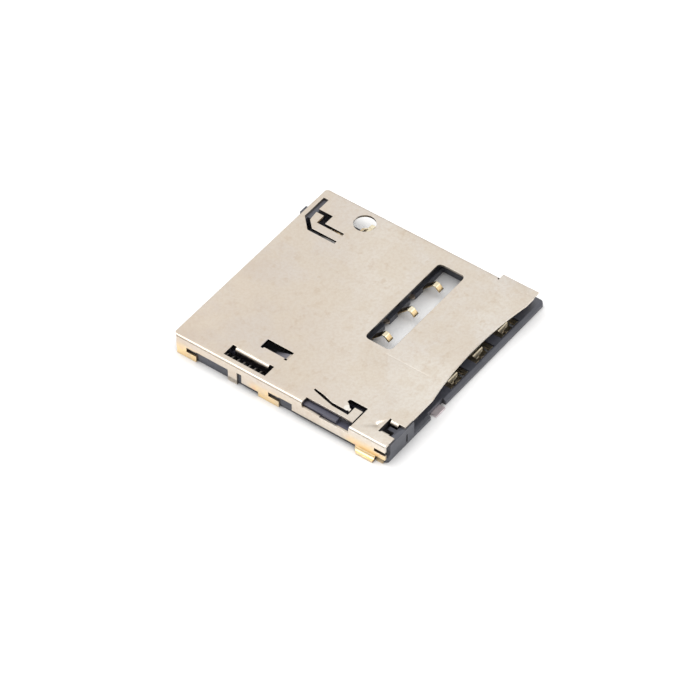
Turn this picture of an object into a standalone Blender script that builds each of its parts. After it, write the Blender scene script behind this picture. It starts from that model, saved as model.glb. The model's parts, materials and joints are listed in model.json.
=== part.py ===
"""Push-push card socket for a board: a bent sheet shell over a moulded base with sprung contacts,
a sprung slider with a heart-shaped cam track, and the wire pin that latches it.

Sizes are in millimetres here and become metres in the helpers. X runs across the mouth from the
near side, with the slider, to the far side. The card goes in along +Y, +Z is up, and the origin is
at the middle of the shell's plan on the board. Places are given as distances from the near or far
outer face and from the front or rear edge of the shell.
"""
import math

import bmesh
import bpy
from mathutils import Vector

MM = 0.001
CLEAR = 0.02               # between pieces that seat on or in each other
COINED = 0.005             # how far a branch is pressed in on each face where it leaves its strip
LAP = 0.10                 # how far joined shapes run into each other
PAST = 1.0                 # how far a cutter runs past the open side of a cut
BEND_STEPS = 4             # facets of a small bend
SHARP_ANGLE = 30           # degrees between facets from which an edge stays sharp
MITRE_LIMIT = 0.5          # least cosine used where a strip turns
SAME_POINT = 1e-4          # outline points closer than this are one

# Plan: the card's way, the rows of contacts and the space beside the way for the slider
MECHANISM = 2.59           # width of the slider's space with its rail
NEAR_MARGIN = 4.95         # near side of the card's way to the first column of contacts
PITCH = 2.54               # from column to column
FAR_MARGIN = 2.16          # last column to the far side of the card's way
COLUMNS = 3
FRONT_RUN = 5.60           # front edge to the crests of the front row
ROW_GAP = 7.62             # front row to rear row
REAR_RUN = 2.08            # crests of the rear row to the rear edge

# Heights
FLOOR_TOP = 0.40           # floor under the card, above the board
SLOT_HEIGHT = 0.90         # floor to the underside of the shell
SHEET = 0.15               # thickness of the shell
STRIP = 0.10               # thickness of the contact strip

# Shell
SHELL_BEND = 0.09          # middle radius of the long bends
TAB_BEND = 0.11            # middle radius of the short bends
FOOT_BEND = 0.26           # middle radius where a foot turns out on the board
SKIRT_BOTTOM = 0.35        # lower edge of the side walls between the feet
HOLLOW_DEPTH = 0.43        # of the front edge
HOLLOW_NEAR = 4.66         # ends of the hollow from the near and far faces
HOLLOW_FAR = 0.96
HOLLOW_STEPS = 20          # facets of the hollow
FOOT_REACH = 0.30          # how far the near front foot stands out
FOOT_CORNER = 0.26         # bevel of its rear outer corner
CORNER_REACH = 0.38        # how far the wide far corner stands out past the far wall
CORNER_SETBACK = 0.03
EAR = (0.31, 0.55)         # reach and length of the wide corner's flat front end
CORNER_LENGTH = 2.55       # of the wide corner, from the front edge
CORNER_GAP = 0.08          # between the wide corner and the far wall
CORNER_FOOT = (1.05, 2.10)
REAR_CORNER_CUT = 0.23     # bevel of both rear corners
REAR_PROUD = 0.04          # how far the rear flaps stand behind the plate's edge
REAR_FLAP_GAP = (5.31, 5.51)
REAR_FLAP_ENDS = (0.99, 2.96)
FRONT_FOOT = (0.68, 2.10)  # feet along the sides, from the front edge
FRONT_STUB = (0.15, 0.60)
MIDDLE_FOOT = (7.60, 9.11)
PAD_TAB = (10.65, 11.30)
REAR_FOOT = (1.65, 0.24)   # from the rear edge
FOOT_SLOT = (0.45, 0.80)   # heights of the slots over the feet
GAP_TOP = 0.85             # top of the wide gaps in the near wall
WALL_GAP_LENGTH = 0.95     # gap in front of the middle foot
WALL_SLIT = 0.34           # slit in front of the pad tab
WALL_SLIT_TOP = 0.98
FRONT_SLOT = (0.77, 0.69, 0.95)    # length and heights of the slot beside the front block
FAR_WINDOW = (4.15, 1.95)
FAR_WINDOW_ROOF = 0.10     # metal left above the far window

# Openings in the shell's plate
WINDOW_NEAR = 1.32         # sides of the contact window from the nearest columns and crests
WINDOW_FAR = 1.14
WINDOW_FRONT = 1.35
WINDOW_REAR = 0.55
WINDOW_CORNER = 0.30
ROUND_HOLE = (1.11, 3.60)  # centre from the far face and the rear edge
ROUND_HOLE_RADIUS = 0.71
SLIDER_SLOT = 0.53         # width of the opening along the near edge
SLIDER_SLOT_ENDS = (2.60, 4.57, 5.95)
SLIDER_SLOT_DEPTHS = (0.32, 0.23)
SPRING_SLOT = (0.43, 1.33)
SPRING_SLOT_ENDS = (6.39, 3.39)
FLANGE_FACE = 1.105        # outer face of the spring flange from the near face
FLANGE_RELIEF = 0.30       # gaps at both ends of the flange
TONGUE_SLOT = (2.25, 2.90)
TONGUE_SLOT_ENDS = (6.65, 4.77)
TONGUE_RELIEF = (0.11, 0.18)       # width and length of the reliefs in the slot's near corners
TONGUE_GAPS = (0.03, 0.17)
TONGUE_RUN = 1.06
TONGUE_PLAY = 0.02         # tongue above the slider
FLANGE_PLAY = 0.05         # spring flange above the slider
NOTCH = (0.91, 1.96)
NOTCH_DEPTH = 1.09
NOTCH_EARS = (0.06, 0.08, 0.12)    # near reach, far reach and length
FLAPS = (0.40, 0.95)
FLAP_DEPTH = 0.40
DIMPLE_RADIUS = 0.22
DIMPLE_DEPTH = 0.07
ARM_CUT = [                # slit and open corner round the leaf arm, from the near face and the front edge
    (1.24, 5.97), (1.01, 5.05), (0.86, 4.35), (0.82, 3.23), (1.51, 3.23), (1.51, 2.66),
    (0.20, 2.66), (0.20, 2.57), (1.88, 2.57), (1.88, 3.75), (1.81, 3.85), (1.64, 3.85),
    (1.54, 3.67), (1.34, 3.47), (1.06, 3.47), (1.06, 4.55), (1.26, 5.25), (1.37, 5.97),
]
ARM_LIP = (1.10, 1.32, 3.47)       # sides and edge of the lip at the arm's root, in the open corner
ARM_LIP_DEPTH = 0.12       # under the plate
FINGER_CUT = [             # slots round the stepped finger, from the far face and the rear edge
    (0.79, 0.30), (2.71, 0.30), (3.58, 1.15), (3.58, 3.15), (3.34, 3.15), (3.34, 1.32),
    (2.78, 0.75), (2.04, 0.67), (2.04, 1.23), (2.76, 1.23), (2.76, 3.13), (2.56, 3.13),
    (2.56, 1.70), (1.76, 1.70), (1.76, 0.66), (0.79, 0.66),
]

# Base moulding
LIP_PROUD = 0.07           # how far the floor's lip stands in front of the shell
LIP_CHAMFER = 0.16
LEDGE_REACH = 0.76         # how far the lip's far end stands out past the far wall
LEDGE_LENGTH = 0.95        # from the front edge
LEDGE_CORNER = 0.10
FACE_SETBACK = 0.05
FACE_CORNER = 0.12
RAIL_WIDTH = 0.20
RAIL_END = 6.85            # from the rear edge
REAR_WALL = 0.28
LOW_WALL = 0.10
LOW_WALL_TOP = 0.75
FRONT_BLOCK = 1.90         # rear side of the front block from the front edge
BLOCK_SLIT = (2.01, 2.13)
BLOCK_SLIT_HEIGHTS = (0.18, 0.80)
BLOCK_SLIT_DEPTH = 0.37
BLOCK_POCKET = (0.44, 0.35, 0.52)  # width, length and bottom of the pocket at the near front corner
PILLAR = (1.42, 1.70)
PILLAR_ENDS = (0.25, 0.85)
PILLAR_BOTTOM = 0.50
PILLAR_DROP = 0.06
POCKET_PLAY = 0.06
SEAT_BLOCK = 2.45          # front side of the spring's seat from the rear edge
SEAT_BLOCK_WIDTH = 0.93
CORNER_BLOCK = (2.56, 0.65)
LUG = (2.47, 1.86)
LUG_PROUD = 0.24
FAR_NOTCH = (0.84, 4.15, 1.75)
BAR_NOTCH = 0.50
BAR_NOTCH_REAR = 0.28

# Signal contacts
STRIP_WIDTH = 0.42
STRIP_BEND = 0.10
BEAM_RUN = 0.75            # from the bar that holds a beam to its crest
TIP_RUN = 0.42             # from the crest to the free end
CREST_FLAT = 0.18
CREST_RISE = 0.57          # crest above the floor
TIP_DROP = 0.35            # from the crest's top to the middle of the free end
STRIP_COVER = 0.11         # from the floor's top to the middle of an embedded strip
HAIRPIN_RUN = 0.55         # from the bar's front face to the hairpin
FOOT_RUN = 0.47            # solder foot of a front contact, back from its hairpin
OPENING_SIDE = 0.62        # floor openings beyond the outer columns
OPENING_FAR = 1.85         # front opening beyond the last column
OPENING_FRONT = 0.80       # and in front of the crests
TAIL_STEP = (0.45, 0.15)   # where a rear tail steps down, from the base's rear face
SOLDER_REACH = 0.23        # tails beyond the shell's front and rear edges

# Front pads
PAD_WIDTH = 1.70
PAD_ENDS = (0.25, 1.20)    # from the front edge
PAD_BAR = 0.30
PAD_TONGUE = 0.95
PAD_TONGUE_GAP = 0.05
PAD_TONGUE_STEP = (0.42, 0.60)
PAD_WINDOW_PLAY = 0.06
PAD_WINDOW_REAR = 0.20
DISC_RADIUS = 0.25
DISC_RISE = 0.05
DISC_PLACE = (0.10, 0.27)
PAD_ANCHOR = 2.00          # rear end of the embedded strip behind the pad, from the front edge

# Card switch
BLADE = (0.81, 1.35)       # sides of the blade from the last column
BLADE_FRONT = 6.70         # from the front edge
BLADE_RISE = (6.35, 4.15)  # from the rear edge
BLADE_FLAT = 0.25
BLADE_END = 0.80
BLADE_DROP = 0.36
BLADE_HEADROOM = 0.16
BLADE_HOOK = (0.30, 0.05, 0.35)    # reach, start and end on the blade's flat
BLADE_TAIL = 0.55
BLADE_TAIL_STEP = (0.30, 0.10)     # where the tail steps down, from the base's far side
BLADE_TAIL_REACH = 0.25
BLADE_SEAT = 1.10          # length of the blade's closed root groove
BLADE_PLAY = 0.04
TERMINAL = (0.57, 1.17)    # sides of the terminal from the last column
TERMINAL_START = 3.00      # from the rear edge
TERMINAL_WINDOW_END = 1.25

# Front solder tab
FRONT_TAB = (4.76, 5.66)
FRONT_TAB_END = 0.95
FRONT_TAB_STEP = (0.62, 0.42)      # from the front edge
FRONT_TAB_GAP = (4.41, 5.90)
FRONT_TAB_GAP_DEPTH = 0.25         # from the lip's front

# Slider, spring and pin
TRAVEL = 2.40
SLIDER_PLAY = 0.05
SLIDER_FRONT = 2.35        # from the front edge
SLIDER_SHOULDER = 6.50     # from the rear edge
SLIDER_REAR = 2.90
ARM_WIDTH = 1.20
HOOK_REACH = 0.85
HOOK_ROOT = 0.38
HOOK_LENGTH = 0.50
HOOK_CHAMFER = 0.40
RIB_WIDTH = 0.41
RIB_HEADROOM = 0.10
RIB_PLAY = 0.04
RIB_STEP = 3.60
RIB_STEP_HEIGHT = 0.16
RIB_SETBACKS = (0.10, 0.25)
WIRE = 0.11                # spring wire
COIL_RADIUS = 0.27         # middle radius of the turns
COIL_TURNS = 11
COIL_FACETS = 14           # in one turn
COIL_SIDES = 6             # of the wire
CLOSED_PITCH = 1.15        # of the end turns, in wire thicknesses
COIL_PLACE = 0.79          # axis from the near face
COIL_HEADROOM = 0.075      # turns above the floor
PEG_RADIUS = 0.13
PEG_LENGTH = 0.45
PEG_DROP = 0.05            # slider's peg below the spring's axis
PIN_RADIUS = 0.10
PIN_PLACE = (1.21, 1.50)   # pivot from the near face and the front edge
PIN_REACH = 3.95           # from the pivot to the follower
PIN_SWING = 0.40           # sideways way of the follower over the travel
PIN_HEADROOM = 0.08
PIN_BEND = 0.14
PIN_SIDES = 8
PIN_FOOT = 0.20            # lower end of the pin above the floor
PIN_SLIDER_GAP = 0.10
TRACK_BOTTOM = 0.18        # floor of the track above the slider's underside
TRACK_PLAY = 0.06
FOLLOWER_PLAY = 0.08
HEART_START = 0.62         # point of the heart in front of the follower at rest
HEART_END = 0.50           # lobes of the heart behind the follower at full travel
HEART_SHOULDERS = (0.13, -0.06)
HEART_LOBES = [            # from the follower's line and the lobes' front, from shoulder to shoulder
    (0.24, 0.10), (0.20, 0.00), (0.10, 0.06), (0.00, 0.30), (-0.09, 0.06), (-0.155, 0.00), (-0.165, 0.15),
]

# Colours of the finishes
NICKEL = (0.72, 0.66, 0.58)
GOLD = (0.85, 0.66, 0.34)
STEEL = (0.55, 0.55, 0.56)
BASE_GREY = (0.13, 0.13, 0.14)
SLIDER_GREY = (0.17, 0.17, 0.20)

SHELL_WIDTH = 2 * (SHEET + CLEAR) + MECHANISM + NEAR_MARGIN + (COLUMNS - 1) * PITCH + FAR_MARGIN
SHELL_DEPTH = FRONT_RUN + ROW_GAP + REAR_RUN
WALL_X = SHELL_WIDTH / 2
INNER_X = WALL_X - SHEET
BASE_X = INNER_X - CLEAR
PLATE_UNDER = FLOOR_TOP + SLOT_HEIGHT
SHELL_TOP = PLATE_UNDER + SHEET
PLATE_MIDDLE = PLATE_UNDER + SHEET / 2
BASE_TOP = PLATE_UNDER - CLEAR


def near(distance):
    """X at a distance from the near outer face."""
    return distance - WALL_X


def far(distance):
    return WALL_X - distance


def front(distance):
    """Y at a distance behind the shell's front edge."""
    return distance - SHELL_DEPTH / 2


def rear(distance):
    return SHELL_DEPTH / 2 - distance


BASE_REAR = rear(SHEET + CLEAR - REAR_PROUD)
LIP_FRONT = front(-LIP_PROUD)
WAY_NEAR = MECHANISM - BASE_X
FRONT_CREST = front(FRONT_RUN)
REAR_CREST = FRONT_CREST + ROW_GAP
COLUMN_X = [WAY_NEAR + NEAR_MARGIN + k * PITCH for k in range(COLUMNS)]
BEAM_Z = FLOOR_TOP - STRIP_COVER
SOLDER_Z = STRIP / 2
CREST_Z = FLOOR_TOP + CREST_RISE - STRIP / 2
BAR_FRONT = FRONT_CREST + BEAM_RUN
HAIRPIN = BAR_FRONT + HAIRPIN_RUN
BLADE_X = (COLUMN_X[-1] + BLADE[0], COLUMN_X[-1] + BLADE[1])
BLADE_Z = PLATE_UNDER - BLADE_HEADROOM - STRIP / 2
TERMINAL_X = (COLUMN_X[-1] + TERMINAL[0], COLUMN_X[-1] + TERMINAL[1])
SLIDER_BOTTOM = FLOOR_TOP + CLEAR
PIN_Z = PLATE_UNDER - PIN_HEADROOM - PIN_RADIUS
SLIDER_TOP = PIN_Z - PIN_RADIUS - PIN_SLIDER_GAP
SLIDER_NEAR = LOW_WALL + CLEAR + CLEAR - BASE_X
SLIDER_FAR = WAY_NEAR - RAIL_WIDTH - SLIDER_PLAY
COIL_X = near(COIL_PLACE)
COIL_Z = FLOOR_TOP + COIL_HEADROOM + WIRE / 2 + COIL_RADIUS
PIN_X = near(PIN_PLACE[0])
PIN_Y = front(PIN_PLACE[1])
FOLLOWER_X = PIN_X + PIN_SWING / 2
FOLLOWER_Y = PIN_Y + math.sqrt(PIN_REACH ** 2 - (PIN_SWING / 2) ** 2)
TRACK_FLOOR = SLIDER_BOTTOM + TRACK_BOTTOM
BELOW = -PAST
ABOVE = SHELL_TOP + PAST
PLATE_CUT = PLATE_UNDER - 2 * SHEET        # where cutters of the plate start
TAB_BACK = FRONT_TAB_GAP_DEPTH + LIP_FRONT # rear face of the gap round the front tab


def clear_scene():
    for old in list(bpy.data.objects):
        bpy.data.objects.remove(old, do_unlink=True)


def material(name, colour, roughness, metallic):
    made = bpy.data.materials.new(name)
    made.use_nodes = True
    shader = made.node_tree.nodes["Principled BSDF"]
    shader.inputs["Base Color"].default_value = (*colour, 1.0)
    shader.inputs["Roughness"].default_value = roughness
    shader.inputs["Metallic"].default_value = metallic
    made.diffuse_color = (*colour, 1.0)
    return made


# Outlines

def rectangle(u0, u1, v0, v1):
    return [(u0, v0), (u1, v0), (u1, v1), (u0, v1)]


def circle(u, v, radius, steps=24):
    turn = 2 * math.pi / steps
    return [(u + radius * math.cos(k * turn), v + radius * math.sin(k * turn)) for k in range(steps)]


def rounded(points, radius, steps=BEND_STEPS, closed=True):
    """The same points with each corner replaced by an arc; an open line keeps its ends."""
    made = []
    count = len(points)
    for k, corner in enumerate(points):
        here = Vector(corner)
        if not closed and k in (0, count - 1):
            made.append(here)
            continue
        before = Vector(points[k - 1]) - here
        after = Vector(points[(k + 1) % count]) - here
        half = before.angle(after) / 2
        run = radius / math.tan(half)
        start = here + before.normalized() * run
        end = here + after.normalized() * run
        inward = (before.normalized() + after.normalized()).normalized()
        centre = here + inward * radius / math.sin(half)
        first = start - centre
        sweep = first.angle_signed(end - centre)
        for step in range(steps + 1):
            angle = -sweep * step / steps
            made.append(centre + Vector((
                first.x * math.cos(angle) - first.y * math.sin(angle),
                first.x * math.sin(angle) + first.y * math.cos(angle))))
    kept = [made[0]]
    for point in made[1:]:
        if (point - kept[-1]).length > SAME_POINT:
            kept.append(point)
    return [tuple(point) for point in kept]


def strip_outline(line, thickness, bend):
    """Outline of a strip of even thickness bent along a line of points."""
    line = [Vector(point) for point in rounded(line, bend, closed=False)]
    left = []
    right = []
    for k, here in enumerate(line):
        before = (here - line[k - 1]).normalized() if k else None
        after = (line[k + 1] - here).normalized() if k < len(line) - 1 else None
        along = ((before or after) + (after or before)).normalized()
        across = Vector((-along.y, along.x))
        grow = thickness / 2 / max(MITRE_LIMIT, along.dot(before or after))
        left.append(tuple(here + across * grow))
        right.append(tuple(here - across * grow))
    return left + right[::-1]


# Solids

def finished(name, shape):
    bmesh.ops.recalc_face_normals(shape, faces=shape.faces)
    mesh = bpy.data.meshes.new(name)
    shape.to_mesh(mesh)
    shape.free()
    made = bpy.data.objects.new(name, mesh)
    bpy.context.scene.collection.objects.link(made)
    return made


def skin(name, rings):
    """Closed solid through rings of as many points each, in order along the piece."""
    shape = bmesh.new()
    loops = [[shape.verts.new(Vector(point) * MM) for point in ring] for ring in rings]
    for first, second in zip(loops, loops[1:]):
        for k in range(len(first)):
            after = (k + 1) % len(first)
            shape.faces.new((first[k], first[after], second[after], second[k]))
    shape.faces.new(loops[0][::-1])
    shape.faces.new(loops[-1])
    return finished(name, shape)


def prism(name, outline, low, high, axis="z"):
    """An outline extruded along one axis: z from (x, y), x from (y, z), y from (x, z)."""
    place = {
        "z": lambda u, v, w: (u, v, w),
        "x": lambda u, v, w: (w, u, v),
        "y": lambda u, v, w: (u, w, v),
    }[axis]
    return skin(name, [[place(u, v, w) for u, v in outline] for w in (low, high)])


def box(name, x0, x1, y0, y1, z0, z1):
    return prism(name, rectangle(x0, x1, y0, y1), z0, z1)


def cone(name, x, y, z0, z1, radius0, radius1, steps=16):
    return skin(name, [[(u, v, z) for u, v in circle(x, y, radius, steps)]
                       for z, radius in ((z0, radius0), (z1, radius1))])


def bent(name, line, thickness, bend, low, high, axis):
    return prism(name, strip_outline(line, thickness, bend), low, high, axis)


def tube(name, line, radius, sides):
    """Closed round wire along a line of points, with each ring square to the line."""
    line = [Vector(point) for point in line]
    rings = []
    side = None
    for k, here in enumerate(line):
        along = (line[min(k + 1, len(line) - 1)] - line[max(k - 1, 0)]).normalized()
        if side is None:
            side = along.orthogonal().normalized()
        side = (side - along * side.dot(along)).normalized()
        other = along.cross(side)
        rings.append([here + side * u + other * v for u, v in circle(0, 0, radius, sides)])
    return skin(name, rings)


def combine(body, helpers, operation):
    """One Boolean for each helper, which stays in the file as a hidden wire shape."""
    for helper in helpers:
        helper.hide_render = True
        helper.display_type = "WIRE"
        modifier = body.modifiers.new(f"{operation.title()} {helper.name}", "BOOLEAN")
        modifier.operation = operation
        modifier.object = helper
        modifier.solver = "EXACT"


def dress(body, look, origin=(0.0, 0.0, 0.0)):
    """Material, smooth round faces and the origin, with the shape left where it is."""
    body.data.materials.append(look)
    body.data.shade_smooth()
    body.data.set_sharp_from_angle(angle=math.radians(SHARP_ANGLE))
    shift = Vector(origin) * MM
    for vertex in body.data.vertices:
        vertex.co -= shift
    body.location = shift
    return body


# Shell

BRANCH = SHEET - 2 * COINED


def wall_branch(name, side, wall, reach, y0, y1):
    """A stretch of side wall down to the board, with a foot turned out where reach is given."""
    middle = side * (wall - SHEET / 2)
    line = [(middle, SKIRT_BOTTOM + 2 * LAP), (middle, BRANCH / 2 if reach else 0)]
    if reach:
        line.append((middle + side * (SHEET / 2 + reach), BRANCH / 2))
    return bent(name, line, BRANCH, FOOT_BEND, y0, y1, "y")


def front_hollow():
    """Cutter for the hollow front edge, an arc from one end of the hollow to the other."""
    half_chord = (far(HOLLOW_FAR) - near(HOLLOW_NEAR)) / 2
    radius = (half_chord ** 2 + HOLLOW_DEPTH ** 2) / (2 * HOLLOW_DEPTH)
    half_angle = math.asin(half_chord / radius)
    middle = (far(HOLLOW_FAR) + near(HOLLOW_NEAR)) / 2
    centre = front(HOLLOW_DEPTH) - radius
    points = [(middle - half_chord, front(-PAST))]
    for k in range(HOLLOW_STEPS + 1):
        angle = half_angle * (2 * k / HOLLOW_STEPS - 1)
        points.append((middle + radius * math.sin(angle), centre + radius * math.cos(angle)))
    points.append((middle + half_chord, front(-PAST)))
    return prism("front hollow", points, BELOW, ABOVE)


def bent_plate():
    """The plate with both side walls, as one bent sheet."""
    middle = WALL_X - SHEET / 2
    line = [(-middle, SKIRT_BOTTOM), (-middle, PLATE_MIDDLE),
            (middle, PLATE_MIDDLE), (middle, SKIRT_BOTTOM)]
    return bent("shell", line, SHEET, SHELL_BEND, front(0), rear(0), "y")


def wide_corner():
    """The far front corner, which stands out past the far wall: a flat ear, then a wall with a foot."""
    wall = WALL_X + CORNER_REACH
    middle = wall - SHEET / 2
    ear_reach, ear_length = EAR
    line = [(INNER_X - PAST, PLATE_MIDDLE), (middle, PLATE_MIDDLE), (middle, SKIRT_BOTTOM)]
    return [
        box("wide corner ear", INNER_X - PAST, WALL_X + ear_reach, front(CORNER_SETBACK),
            front(ear_length) + LAP, PLATE_UNDER + 2 * COINED, SHELL_TOP - 2 * COINED),
        bent("wide corner", line, BRANCH, SHELL_BEND, front(ear_length), front(CORNER_LENGTH), "y"),
        wall_branch("wide corner foot", 1, wall, 0, front(CORNER_FOOT[0]), front(CORNER_FOOT[1])),
    ]


def rear_flaps():
    middle = rear(SHEET / 2 - REAR_PROUD)
    line = [(rear(PAST), PLATE_MIDDLE), (middle, PLATE_MIDDLE), (middle, SKIRT_BOTTOM)]
    sides = (
        ("rear flap near", near(REAR_FLAP_ENDS[0]), near(REAR_FLAP_GAP[0])),
        ("rear flap far", near(REAR_FLAP_GAP[1]), far(REAR_FLAP_ENDS[1])),
    )
    return [bent(name, line, BRANCH, SHELL_BEND, x0, x1, "x") for name, x0, x1 in sides]


def wall_branches():
    made = [
        wall_branch("near front stub", -1, WALL_X, 0, front(FRONT_STUB[0]), front(FRONT_STUB[1])),
        wall_branch("near front foot", -1, WALL_X, FOOT_REACH, front(FRONT_FOOT[0]), front(FRONT_FOOT[1])),
        wall_branch("near pad tab", -1, WALL_X, 0, front(PAD_TAB[0]), front(PAD_TAB[1])),
    ]
    for side, name in ((-1, "near"), (1, "far")):
        made.append(wall_branch(f"{name} middle foot", side, WALL_X, 0,
                                front(MIDDLE_FOOT[0]), front(MIDDLE_FOOT[1])))
        made.append(wall_branch(f"{name} rear foot", side, WALL_X, 0,
                                rear(REAR_FOOT[0]), rear(REAR_FOOT[1])))
    return made


def rear_corner(name, side):
    """Cutter of the bevel at a rear corner."""
    edge = WALL_X - REAR_CORNER_CUT
    outside = WALL_X + PAST
    outline = [(edge, rear(-PAST)), (edge, rear(0)), (WALL_X, rear(REAR_CORNER_CUT)),
               (outside, rear(REAR_CORNER_CUT)), (outside, rear(-PAST))]
    return prism(name, [(side * x, y) for x, y in outline], BELOW, ABOVE)


def plate_cuts():
    def hole(name, outline):
        return prism(name, outline, PLATE_CUT, ABOVE)

    window = rectangle(COLUMN_X[0] - WINDOW_NEAR, COLUMN_X[-1] + WINDOW_FAR,
                       FRONT_CREST - WINDOW_FRONT, FRONT_CREST + WINDOW_REAR)
    notch_rear = front(NOTCH_DEPTH)
    ears = rectangle(near(NOTCH[0] - NOTCH_EARS[0]), near(NOTCH[1] + NOTCH_EARS[1]),
                     notch_rear - NOTCH_EARS[2], notch_rear)
    cuts = [
        hole("contact window", rounded(window, WINDOW_CORNER)),
        hole("round hole", circle(far(ROUND_HOLE[0]), rear(ROUND_HOLE[1]), ROUND_HOLE_RADIUS)),
        hole("arm slit", [(near(x), front(y)) for x, y in ARM_CUT]),
        hole("finger slots", [(far(x), rear(y)) for x, y in FINGER_CUT]),
        hole("spring slot", rectangle(near(SPRING_SLOT[0]), near(SPRING_SLOT[1]),
                                      rear(SPRING_SLOT_ENDS[0]), rear(SPRING_SLOT_ENDS[1]))),
        hole("tongue slot", rectangle(near(TONGUE_SLOT[0]), near(TONGUE_SLOT[1]),
                                      rear(TONGUE_SLOT_ENDS[0]), rear(TONGUE_SLOT_ENDS[1]))),
        hole("notch", rectangle(near(NOTCH[0]), near(NOTCH[1]), front(-PAST), notch_rear - CLEAR)),
        hole("notch ears", ears),
        rear_corner("near rear corner", -1),
        rear_corner("far rear corner", 1),
    ]
    relief, length = TONGUE_RELIEF
    sides = (near(TONGUE_SLOT[0]) - relief, near(TONGUE_SLOT[0]) + LAP)
    for y in (rear(TONGUE_SLOT_ENDS[0]), rear(TONGUE_SLOT_ENDS[1]) - length):
        cuts.append(hole("tongue relief", rectangle(*sides, y, y + length)))
    start, step, end = SLIDER_SLOT_ENDS
    deep, shallow = SLIDER_SLOT_DEPTHS
    for y0, y1, depth in ((start, step + LAP, deep), (step, end, shallow)):
        cuts.append(box("slider slot", near(-PAST), near(SLIDER_SLOT), front(y0), front(y1),
                        PLATE_UNDER - depth, ABOVE))
    return cuts


def wall_cuts():
    def near_cut(name, y0, y1, z0, z1):
        return box(name, near(-PAST), near(2 * SHEET), y0, y1, z0, z1)

    def far_cut(name, y0, y1, z0, z1):
        return box(name, far(2 * SHEET), far(-PAST), y0, y1, z0, z1)

    foot = front(MIDDLE_FOOT[0])
    tab = front(PAD_TAB[0])
    rear_foot = rear(REAR_FOOT[0])
    low, high = FOOT_SLOT
    lead = SHEET
    roof = PLATE_UNDER - FAR_WINDOW_ROOF
    outer = near(-FOOT_REACH)
    foot_end = front(FRONT_FOOT[1])
    beyond = foot_end + LAP
    cuts = [
        prism("front foot corner", [
            (outer, foot_end - FOOT_CORNER), (outer + FOOT_CORNER, foot_end), (outer + FOOT_CORNER, beyond),
            (outer - LAP, beyond), (outer - LAP, foot_end - FOOT_CORNER)], BELOW, low),
        box("wall over the ledge", far(0), far(-PAST), front(-PAST), front(LEDGE_LENGTH) + CLEAR,
            BELOW, FLOOR_TOP + CLEAR),
        near_cut("near front slot", front(-PAST), front(FRONT_SLOT[0]), FRONT_SLOT[1], FRONT_SLOT[2]),
        near_cut("near wall gap", foot - WALL_GAP_LENGTH, foot, BELOW, GAP_TOP),
        near_cut("near wall slit", tab - WALL_SLIT, tab, BELOW, WALL_SLIT_TOP),
        near_cut("near wall long gap", front(PAD_TAB[1]), rear_foot, BELOW, GAP_TOP),
        far_cut("far wall window", rear(FAR_WINDOW[0]), rear(FAR_WINDOW[1]), BELOW, roof),
    ]
    middle = (foot - lead, (foot + front(MIDDLE_FOOT[1])) / 2)
    back = (rear_foot - 2 * lead, (rear_foot + rear(REAR_FOOT[1])) / 2)
    for name, cut in (("near", near_cut), ("far", far_cut)):
        cuts.append(cut(f"slot over the {name} middle foot", *middle, low, high))
        cuts.append(cut(f"slot over the {name} rear foot", *back, low, high))
    return cuts


def plate_tabs():
    """Flange beside the spring, tongue over the slider, lip at the arm and the flaps at the notch."""
    middle = near(FLANGE_FACE) + SHEET / 2
    line = [(near(SPRING_SLOT[1]) + SHEET, PLATE_MIDDLE), (middle, PLATE_MIDDLE),
            (middle, SLIDER_TOP + FLANGE_PLAY)]
    flange = bent("spring flange", line, BRANCH, TAB_BEND, rear(SPRING_SLOT_ENDS[0]) + FLANGE_RELIEF,
                  rear(SPRING_SLOT_ENDS[1]) - FLANGE_RELIEF, "y")
    root = rear(TONGUE_SLOT_ENDS[0])
    line = [(root - 2 * SHEET, PLATE_MIDDLE), (root + CLEAR, PLATE_MIDDLE),
            (root + TONGUE_RUN, SLIDER_TOP + TONGUE_PLAY + SHEET / 2)]
    tongue = bent("slider tongue", line, BRANCH, TAB_BEND, near(TONGUE_SLOT[0] + TONGUE_GAPS[0]),
                  near(TONGUE_SLOT[1] - TONGUE_GAPS[1]), "x")
    low, high, place = ARM_LIP
    edge = front(place)
    line = [(edge + SHEET, PLATE_MIDDLE), (edge - SHELL_BEND, PLATE_MIDDLE),
            (edge - SHELL_BEND, PLATE_UNDER - ARM_LIP_DEPTH)]
    lip = bent("arm lip", line, BRANCH, SHELL_BEND, near(low), near(high), "x")
    made = [flange, tongue, lip]
    for name, side, place in (("notch flap near", 1, NOTCH[0]), ("notch flap far", -1, NOTCH[1])):
        edge = near(place)
        middle = edge + side * SHELL_BEND
        line = [(edge - side * SHEET, PLATE_MIDDLE), (middle, PLATE_MIDDLE),
                (middle, PLATE_UNDER - FLAP_DEPTH)]
        made.append(bent(name, line, BRANCH, SHELL_BEND, front(FLAPS[0]), front(FLAPS[1]), "y"))
    return made


def make_shell(look):
    shell = bent_plate()
    relief = box("corner relief", far(SHELL_BEND + SHEET), far(-PAST), front(-PAST),
                 front(CORNER_LENGTH + CORNER_GAP), BELOW, ABOVE)
    combine(shell, [relief, front_hollow()], "DIFFERENCE")
    combine(shell, wide_corner() + rear_flaps() + wall_branches(), "UNION")
    combine(shell, plate_cuts() + wall_cuts(), "DIFFERENCE")
    dent = (PIN_X, PIN_Y)
    under = cone("dimple under", *dent, PLATE_UNDER - DIMPLE_DEPTH + CLEAR, PLATE_UNDER + CLEAR,
                 DIMPLE_RADIUS / 2, DIMPLE_RADIUS)
    combine(shell, plate_tabs() + [under], "UNION")
    top = cone("dimple", *dent, SHELL_TOP - DIMPLE_DEPTH, SHELL_TOP + CLEAR,
               DIMPLE_RADIUS / 3, DIMPLE_RADIUS)
    combine(shell, [top], "DIFFERENCE")
    return dress(shell, look)


# Contacts

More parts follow.
